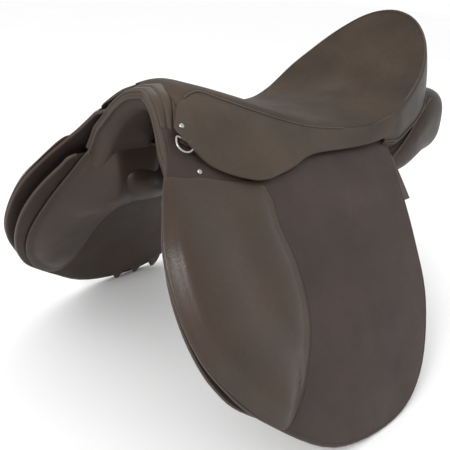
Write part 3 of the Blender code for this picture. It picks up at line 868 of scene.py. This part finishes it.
POMMEL_WELTS = (  # name, s from the pommel's front, out, radius, reach
    ("inner", -0.0026, 0.0046, 0.0017, 0.82), ("outer", -0.0018, 0.0118, 0.0016, 0.80))


def build_pommel():
    cover = arch_loft("pommel_roll", 0.80, pommel_section, LOOKS["skirt_leather"], 73)
    on_saddle(cover, "skirt_leather", "pommel_cover", "pommel_facing")
    inside = arch_loft("pommel_lining_skin", 0.88, lining_section, LOOKS["panel_leather"])
    on_saddle(inside, "panel_leather", "pommel_lining")
    for name, ahead, out, radius, reach in POMMEL_WELTS:
        line = [arch_point(t, pommel_front(t) + ahead, out + flare(t))
                for t in spread(-reach, reach, 90)]
        welt(f"pommel_welt_{name}", line, radius, 10)


GULLET_HEIGHT = metres([  # s, then h; below, s and half-width
    (60, -84), (120, -93), (200, -107), (300, -104), (385, -88), (455, -50), (497, -10)])
GULLET_HALF = metres([(60, 58), (200, 56), (270, 48), (340, 40), (460, 36), (497, 32)])


def build_gullet_lining():
    """The leather that closes the channel between the panels, under the tree's webs."""
    rings = []
    for s in spread(0.058, 0.497, 44):
        middle = smooth(GULLET_HEIGHT, s)
        half = smooth(GULLET_HALF, s)
        skin = [place(half * k, s, middle - 0.0010 - 0.0030 * k * k) for k in spread(-1, 1, 15)]
        rings.append(skin + [p + Vector((0, 0, 0.0030)) for p in reversed(skin)])
    lining = loft("gullet_lining", rings, LOOKS["panel_leather"], 70)
    on_saddle(lining, "web", "gullet_cloth")


def build_point_pockets():
    """Leather pockets at the ends of the arch, which the points of the tree sit in."""
    for name, sign in SIDES:
        rings = []
        for t in spread(0.80, 1.10, 16):
            taper = 1 - 0.55 * ramp(t, 1.03, 1.10)
            ring = []
            for a in (2 * math.pi * k / 20 for k in range(20)):
                c, d = math.cos(a), math.sin(a)
                out = -0.001 + 0.0125 * taper * math.copysign(abs(d) ** 0.6, d)
                s = 0.033 + 0.0225 * taper * math.copysign(abs(c) ** 0.6, c)
                ring.append(arch_point(sign * t, s, out))
            rings.append(ring)
        pocket = loft(f"point_pocket_{name}", rings, LOOKS["strap_leather"], 70)
        on_saddle(pocket, "strap_leather")


# ---- flaps, knee pads, sweat flaps ----
FLAP_OUTLINE = metres([  # s and w, as in the outlines that follow
    (-33, 22), (-23, 4), (-16, -14), (-9, -34), (6, -47), (30, -40), (50, 0), (60, 40), (150, 41),
    (176, 12), (250, 12), (300, 18), (343, 26), (355, 42), (354, 68), (344, 125), (334, 187),
    (318, 270), (268, 354), (194, 386), (78, 366), (-17, 290), (-56, 236), (-73, 190), (-76, 139),
    (-69, 94), (-50, 52)])
KNEE_OUTLINE = metres([
    (-33, 21), (-10, 25), (13, 29), (50, 41), (90, 51), (95, 75), (91, 106), (94, 152), (90, 196),
    (80, 230), (64, 259), (39, 292), (10, 311), (-18, 288), (-55, 236), (-73, 190), (-76, 139),
    (-69, 94), (-52, 53)])
SWEAT_OUTLINE = metres([
    (-22, 34), (50, 40), (150, 42), (250, 45), (318, 78), (322, 150), (305, 240), (262, 320),
    (185, 356), (80, 346), (-18, 280), (-51, 238), (-65, 190), (-66, 140), (-56, 95), (-38, 55)])
TONGUE_OUTLINE = metres([
    (4, -18), (45, -24), (88, -16), (102, 30), (96, 80), (86, 140), (64, 204), (46, 268),
    (20, 295), (-15, 280), (-42, 235), (-48, 185), (-37, 125), (-22, 70), (-10, 20)])
TONGUE_DEEP = metres([  # w, and how thick the block is there
    (-22, 20), (0, 40), (20, 53), (50, 58), (90, 47), (130, 30), (190, 19), (295, 16)])
BLOCK_OUT = SWEAT_OUT - SWEAT_THICK - 0.0008


def tucked(p):
    """How far the flap's top dips to go under the pommel's roll."""
    return 0.0085 * (1 - ramp(p.y, -0.048, -0.022)) * (1 - ramp(p.x, 0.030, 0.055))


def knee_face(p, depth):
    """The knee pad has a full roll along its front edge and is thin under the skirt."""
    edge = 0.055 * ramp(p.y, 0.170, 0.300)
    front = 1 - ramp(p.x - edge, -0.045, 0.040)
    below = ramp(p.y, 0.022, 0.110) * (1 - 0.45 * ramp(p.y, 0.285, 0.325))
    roll = math.sqrt(1 - (1 - min(depth / 0.24, 1.0)) ** 2)
    shape = front * roll + (1 - front) * (1 - (1 - depth) ** 6)
    return FLAP_THICK + 0.0022 + (0.0012 + (0.0030 + 0.0115 * front) * below) * shape


def build_flap(side):
    """A flap, its knee pad, and the pad's rear seam with a welt and two rows of stitches."""
    name, sign = side
    flap = leaf(f"flap_leather_{name}", round_curve(FLAP_OUTLINE, 6), lambda p, _: -tucked(p),
                lambda p, _: FLAP_THICK - tucked(p), sign, LOOKS["flap_leather"], 0.0014, 0.0004)
    on_flap(flap, "flap_leather", side, f"flap_{name}")
    pad = leaf(f"knee_pad_leather_{name}", round_curve(KNEE_OUTLINE, 6),
               lambda p, _: FLAP_THICK + 0.0001, knee_face, sign, LOOKS["pad_leather"], 0.0016)
    on_flap(pad, "pad_leather", side, f"knee_pad_{name}")
    seam = [(0.090, 0.052)] + KNEE_OUTLINE[5:13]
    for number, offset in enumerate((0.0026, 0.0062)):
        beside = [(s + offset * 0.95, w + offset * 0.3) for s, w in seam]
        line = laid(round_curve(beside, 8, closed=False), FLAP_THICK, sign)
        on_flap(stitches(f"knee_stitches_{number}_{name}", line, sign, THREAD), "trim_leather", side)
    line = laid(round_curve(seam, 8, closed=False), FLAP_THICK + 0.0010, sign)
    on_flap(tube(f"knee_welt_{name}", line, 0.0012, LOOKS["trim_leather"]), "trim_leather", side)


def build_sweat_flap(side):
    """The sweat flap under the flap, bound and stitched along its front and lower edge."""
    name, sign = side
    shape = round_curve(SWEAT_OUTLINE, 6)
    sweat = leaf(f"sweat_leather_{name}", shape, lambda p, _: SWEAT_OUT - SWEAT_THICK,
                 lambda p, _: SWEAT_OUT, sign, LOOKS["panel_leather"], 0.0012, 0.0003)
    on_saddle(sweat, "panel_leather", f"sweat_flap_{name}")
    bound = slice(9 * 6, 16 * 6)
    line = laid(shape[bound] + shape[:1], SWEAT_OUT - SWEAT_THICK / 2, sign)
    welt(f"sweat_welt_{name}", line, 0.0022)
    line = laid(inset_outline(shape, 0.0046)[bound], SWEAT_OUT, sign)
    rows = stitches(f"sweat_stitches_{name}", line, sign, PALE_THREAD, 0.0048, 0.0032)
    on_saddle(rows, "trim_leather")


def block_face(p, depth):
    """The panel's block bulges towards the horse."""
    return BLOCK_OUT - 0.0035 - smooth(TONGUE_DEEP, p.y) * (1 - (1 - depth) ** 5)


def build_block(side):
    """The panel's block on the inside of the sweat flap, with a welt round it."""
    name, sign = side
    shape = round_curve(TONGUE_OUTLINE, 6)
    block = leaf(f"panel_block_pad_{name}", shape, block_face, lambda p, _: BLOCK_OUT, sign,
                 LOOKS["panel_leather"], 0.0020)
    on_saddle(block, "panel_leather", f"panel_block_{name}")
    welt(f"block_welt_{name}", laid(shape, BLOCK_OUT - 0.0016, sign), 0.0014, closed=True)


# ---- panels ----
PANEL = [  # s, middle x, middle h, half-width, half-height, tilt in degrees
    (0.014, 0.067, -0.140, 0.022, 0.007, 50), (0.026, 0.067, -0.140, 0.034, 0.012, 48),
    (0.050, 0.069, -0.142, 0.036, 0.017, 42), (0.080, 0.072, -0.143, 0.033, 0.021, 35),
    (0.160, 0.070, -0.138, 0.033, 0.023, 26), (0.250, 0.070, -0.138, 0.037, 0.025, 20),
    (0.340, 0.070, -0.131, 0.039, 0.027, 14), (0.376, 0.070, -0.127, 0.039, 0.027, 12),
    (0.420, 0.077, -0.109, 0.043, 0.042, 8), (0.475, 0.075, -0.084, 0.042, 0.051, 3),
    (0.512, 0.072, -0.080, 0.038, 0.047, 0), (0.532, 0.070, -0.080, 0.024, 0.032, 0)]


def panel_point(s, sign, turned_up, grow=0.0):
    """A point of the panel's section, a rounded rectangle, at an angle from its outer side."""
    x, h, wide, tall, tilt = (column(PANEL, k, s) for k in range(1, 6))
    turn = -math.radians(tilt)
    c, d = math.cos(turned_up), math.sin(turned_up)
    px = (wide + grow) * math.copysign(abs(c) ** 0.7, c)
    pz = (tall + grow) * math.copysign(abs(d) ** 0.7, d)
    return place(sign * (x + px * math.cos(turn) - pz * math.sin(turn)), s,
                 h + px * math.sin(turn) + pz * math.cos(turn))


def build_panels():
    """Wool-flocked panels, swollen by a cloth simulation, with a welt along their outer edge."""
    for name, sign in SIDES:
        rings = [[panel_point(s, sign, 2 * math.pi * k / 32) for k in range(32)]
                 for s in spread(0.014, 0.532, 64)]
        panel = loft(f"panel_pad_{name}", rings, LOOKS["panel_leather"], 80)
        soften(panel, voxel=0.0055, pressure=4.0, cap=0.0035)
        on_saddle(panel, "panel_leather", f"panel_{name}")
        line = [panel_point(s, sign, math.radians(11 + 45 * ramp(s, 0.34, 0.44)), 0.0022)
                for s in spread(0.050, 0.470, 64)]
        welt(f"panel_welt_{name}", line, 0.0016)


# ---- straps ----
STRAP_ROUND = 1.4175  # brings the rounded edges' corners to the strap's full thickness


def strap_loft(name, middle, half_width_at, out, thick, top, length, sign, look, steps):
    """A flat strap with rounded edges that follows the flap's bend."""
    half = thick / 2
    rings = []
    for w in spread(top, top + length, steps):
        ring = []
        for end, angles in ((-1, (225, 180, 135)), (1, (45, 0, -45))):
            for a in (math.radians(angle) for angle in angles):
                s = middle + end * half_width_at(w) + half * 0.8 * (math.cos(a) - end)
                ring.append(flap_point(s, w, out + half * (1 + math.sin(a) * STRAP_ROUND), sign))
        rings.append(ring)
    return loft(name, rings, look, 60)


def punch(piece, cutters):
    """Cut holes through a strap."""
    cut = piece.modifiers.new("holes", "BOOLEAN")
    cut.operation = "DIFFERENCE"
    cut.solver = "EXACT"
    cut.object = cutters
    apply_modifiers(piece)
    bpy.data.objects.remove(cutters, do_unlink=True)
    piece.data.shade_smooth()
    piece.data.set_sharp_from_angle(angle=math.radians(50))


def hole_pins(places, radius, sign):
    """Round pins through the flap's surface, joined in one mesh."""
    work = bmesh.new()
    for s, w in places:
        rear, down, out = flap_frame(w, sign)
        middle = flap_point(s, w, BILLET_OUT + BILLET_THICK / 2, sign)
        ends = [[work.verts.new(q) for q in circle(middle + out * end, rear, down, radius, 12)]
                for end in (-0.006, 0.006)]
        bridge(work, *ends)
        for ring in ends:
            work.faces.new(ring)
    return finish_mesh("pins", work, LOOKS["strap_leather"])


def build_straps(side):
    """The girth straps, punched and stitched, the buckle guard over them, and the rear strap."""
    name, sign = side
    look = LOOKS["strap_leather"]
    end = BILLET_TOP + BILLET_LENGTH

    def to_tip(w):
        return BILLET_HALF * min(1.0, 0.30 + 0.7 * math.sqrt(max((end - w) / 0.022, 0.0)))

    for number, s in enumerate(BILLET_S, start=1):
        billet = strap_loft(f"girth_strap_{number}_{name}", s, to_tip, BILLET_OUT + 0.0002,
                            BILLET_THICK - 0.0004, BILLET_TOP, BILLET_LENGTH, sign, look, 40)
        punch(billet, hole_pins([(s, end - 0.035 - 0.025 * k) for k in range(8)], 0.0022, sign))
        body = f"billet_body_{number}_{name}"
        on_body(billet, body, "strap_leather", f"billet_{number}_{name}")
        for row, offset in enumerate((-0.0098, 0.0098)):
            down = [(s + offset, w) for w in spread(BILLET_TOP + 0.004, end - 0.024, 20)]
            thread = stitches(f"girth_strap_stitches_{number}_{row}_{name}",
                              laid(down, BILLET_OUT + BILLET_THICK, sign), sign, PALE_THREAD,
                              0.0050, 0.0034)
            on_body(thread, body, "strap_leather")
    out = BILLET_OUT + BILLET_THICK + 0.0012
    shape = round_curve([(0.130, 0.062), (0.188, 0.060), (0.246, 0.062), (0.248, 0.110),
                         (0.244, 0.156), (0.188, 0.160), (0.132, 0.156), (0.128, 0.110)], 5)
    guard = leaf(f"buckle_guard_leather_{name}", shape, lambda p, _: out,
                 lambda p, _: out + 0.0020, sign, look, 0.0009, 0.0002)
    on_saddle(guard, "strap_leather", f"buckle_guard_{name}")
    line = laid(inset_outline(shape, 0.0040), out + 0.0020, sign)
    on_saddle(stitches(f"guard_stitches_{name}", line + line[:1], sign, PALE_THREAD),
              "strap_leather")
    rear = strap_loft(f"rear_strap_leather_{name}", 0.354, lambda w: 0.013, -0.0060, 0.0026, 0.062,
                      0.068, sign, look, 10)
    on_saddle(rear, "strap_leather", f"rear_strap_{name}")


# ---- metalwork ----
def turned(name, foot, axis, profile, look, sides=24):
    """A turned piece on a foot point: profile gives (radius, height) from its foot to its top."""
    axis = axis.normalized()
    side = axis.orthogonal().normalized()
    rings = [circle(foot + axis * height, side, axis.cross(side), radius, sides)
             for radius, height in profile]
    return loft(name, rings, look, 50)


DOME = metres([  # radius and height of the nail's head
    (2.8, -2), (3.5, 0), (3.6, 0.5), (3.4, 1.2), (2.7, 2), (1.6, 2.6), (0.6, 2.8)])
RING_HALF, RING_HANG, RING_WIRE = 0.0110, 0.0150, 0.0012
CHAPE = metres([  # a section of the leather that folds round the ring
    (-5.2, 2.6), (0.6, 2.6), (2.4, 1), (2.4, -1.2), (0.6, -2.6), (-5.4, -2.8), (-5.8, -4.6),
    (2, -4.6), (4.2, -2.6), (4.2, 2.2), (2.2, 4.2), (-5.4, 4.2)])
CHAPE_SCALE = 0.66


def build_metalwork(side):
    """The head nail, the flap stud, and the D ring in its chape."""
    name, sign = side
    rear, down, out = flap_frame(0.0, sign)
    nickel = LOOKS["nickel"]
    nail = turned(f"head_nail_dome_{name}", flap_point(0.012, -0.030, 0.0120, sign), out, DOME,
                  nickel)
    on_saddle(nail, "nickel", f"head_nail_{name}")
    stud = turned(f"flap_stud_dome_{name}", flap_point(0.014, 0.022, FLAP_THICK - 0.0002, sign),
                  flap_frame(0.022, sign)[2], [(r * 0.95, z * 0.95) for r, z in DOME], nickel)
    on_flap(stud, "nickel", side, f"flap_stud_{name}")
    top = flap_point(*RING_AT, sign)
    slope = (rear * 0.55 + down * 0.45).normalized()
    hang = (down - slope * down.dot(slope)).normalized()
    points = [top + slope * RING_HALF * k for k in spread(-0.92, 0.92, 8)]
    points += [top + slope * RING_HALF * math.cos(a) + hang * RING_HANG * math.sin(a) ** 0.8
               for a in spread(0.06, math.pi - 0.06, 30)]
    ring = tube(f"d_ring_wire_{name}", points, RING_WIRE, nickel, 12, closed=True)
    on_body(ring, f"ring_body_{name}", "nickel", f"d_ring_{name}")
    rings = [[top + slope * along + (hang * -a * wide + out * b) * CHAPE_SCALE for a, b in CHAPE]
             for along, wide in ((-0.0054, 0.92), (-0.0048, 1.0), (0.0048, 1.0), (0.0054, 0.92))]
    chape = loft(f"d_ring_chape_leather_{name}", rings, LOOKS["strap_leather"], 60)
    on_saddle(chape, "strap_leather", f"d_ring_chape_{name}")


# ---- the CAD parts that keep their own shape ----
def dress_cad():
    """Give a look to each CAD part that no piece replaces."""
    replaced = {name for piece in bpy.data.objects for name in piece.get("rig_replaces", [])}
    for row in frame["record"]["subparts"]:
        if row["node"] not in replaced:
            for slot in frame["nodes"][row["node"]].material_slots:
                slot.material = LOOKS[row["material_slot"]]


# ---- stage ----
LIGHTS = (  # name, place, size in metres, power in watts
    ("key", (-0.5, -1.3, 2.1), 1.4, 5.0), ("front", (0.8, -2.0, 1.3), 0.5, 24.0),
    ("rear", (-1.4, 1.6, 1.5), 1.2, 8.0))


def build_stage():
    """A pale floor, soft studio light and the camera at the photograph's angle."""
    low = min(CAD_BOX[0].z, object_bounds()[0].z)
    bpy.ops.mesh.primitive_plane_add(size=14.0, location=(0, 0, low - 0.0008))
    floor = bpy.context.object
    floor.name = "floor"
    paint = Paint("pale_floor")
    patch = paint.span(paint.noise(3.0), 0.0, 1.0)
    tone = paint.mixed(patch, (0.955, 0.955, 0.955), (0.970, 0.970, 0.970))
    floor.data.materials.append(paint.done({"Base Color": tone, "Roughness": 0.9}))
    scene = bpy.context.scene
    scene.view_settings.view_transform = "Standard"
    world = bpy.data.worlds.new("studio")
    scene.world = world
    world.use_nodes = True
    background = world.node_tree.nodes["Background"]
    background.inputs["Color"].default_value = (1.0, 1.0, 1.0, 1.0)
    background.inputs["Strength"].default_value = 1.01
    for name, where, size, power in LIGHTS:
        light = bpy.data.lights.new(name, "AREA")
        light.size = size
        light.energy = power
        lamp = bpy.data.objects.new(name, light)
        lamp.location = where
        lamp.rotation_euler = (-Vector(where)).to_track_quat("-Z", "Y").to_euler()
        scene.collection.objects.link(lamp)
    camera = bpy.data.objects.new("camera", bpy.data.cameras.new("camera"))
    camera.location = (0.6021, -0.6781, 0.3107)
    camera.rotation_euler = [math.radians(a) for a in (68.63, -3.71, 43.39)]
    camera.data.lens = 52.3
    camera.data.shift_x, camera.data.shift_y = -0.0964, -0.0302
    camera.data.clip_start = 0.01
    scene.collection.objects.link(camera)
    scene.camera = camera


def main():
    build_seat()
    build_skirts()
    build_cantle()
    build_pommel()
    for side in SIDES:
        build_flap(side)
        build_sweat_flap(side)
        build_block(side)
        build_straps(side)
        build_metalwork(side)
    build_point_pockets()
    build_gullet_lining()
    build_panels()
    dress_cad()
    build_stage()


main()
